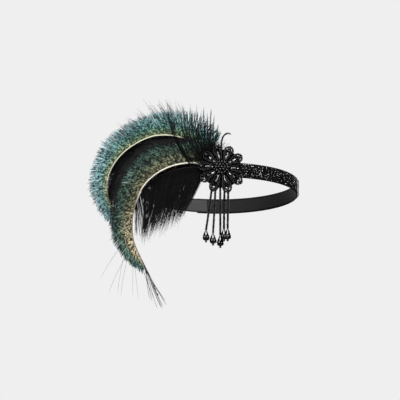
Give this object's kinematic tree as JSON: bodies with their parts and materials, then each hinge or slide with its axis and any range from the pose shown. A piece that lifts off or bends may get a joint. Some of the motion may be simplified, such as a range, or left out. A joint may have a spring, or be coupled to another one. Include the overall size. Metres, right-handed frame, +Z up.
{
  "type": "flapper feather headband",
  "caption": "Black sequinned ribbon headband with a beaded flower rosette, a bead fringe with pear drops, and curling teal sword feathers over black ostrich plumes.",
  "frame": {"origin": "the centre of the head that it is worn on: the middle of the oval loop at half the ribbon's height", "axes": "+Z up when worn, +X to the front of the head, -Y to the side that carries the rosette and plumes"},
  "size_m": [0.2583, 0.178, 0.2651],
  "materials": {
    "sequin_ribbon": "black glitter weave with fine silver-grey sparkle",
    "elastic": "woven charcoal elastic with darker edges",
    "felt": "matt black felt",
    "sword_feather": "iridescent teal barbs that turn green and olive at an ivory quill",
    "ostrich_feather": "soft black barbs with a slight sheen",
    "jet_bead": "polished jet black"
  },
  "bodies": {
    "root": {"sequin_ribbon": "sequin_ribbon", "elastic_insert": "elastic", "felt_pad": "felt", "sword_feather_front": "sword_feather", "sword_feather_back": "sword_feather", "ostrich_plume_low": "ostrich_feather", "ostrich_plume_top": "ostrich_feather", "bead_petal_1": "jet_bead", "bead_petal_2": "jet_bead", "bead_petal_3": "jet_bead", "bead_petal_4": "jet_bead", "bead_petal_5": "jet_bead", "bead_petal_6": "jet_bead", "bead_petal_7": "jet_bead", "bead_petal_8": "jet_bead", "bead_petal_9": "jet_bead", "bead_petal_10": "jet_bead", "bead_dome": "jet_bead", "seed_strand_1": "jet_bead", "seed_strand_2": "jet_bead", "seed_strand_3": "jet_bead", "seed_strand_4": "jet_bead", "seed_strand_5": "jet_bead", "pear_drop_1": "jet_bead", "pear_drop_2": "jet_bead", "pear_drop_3": "jet_bead", "pear_drop_4": "jet_bead", "pear_drop_5": "jet_bead"}
  },
  "joints": []
}
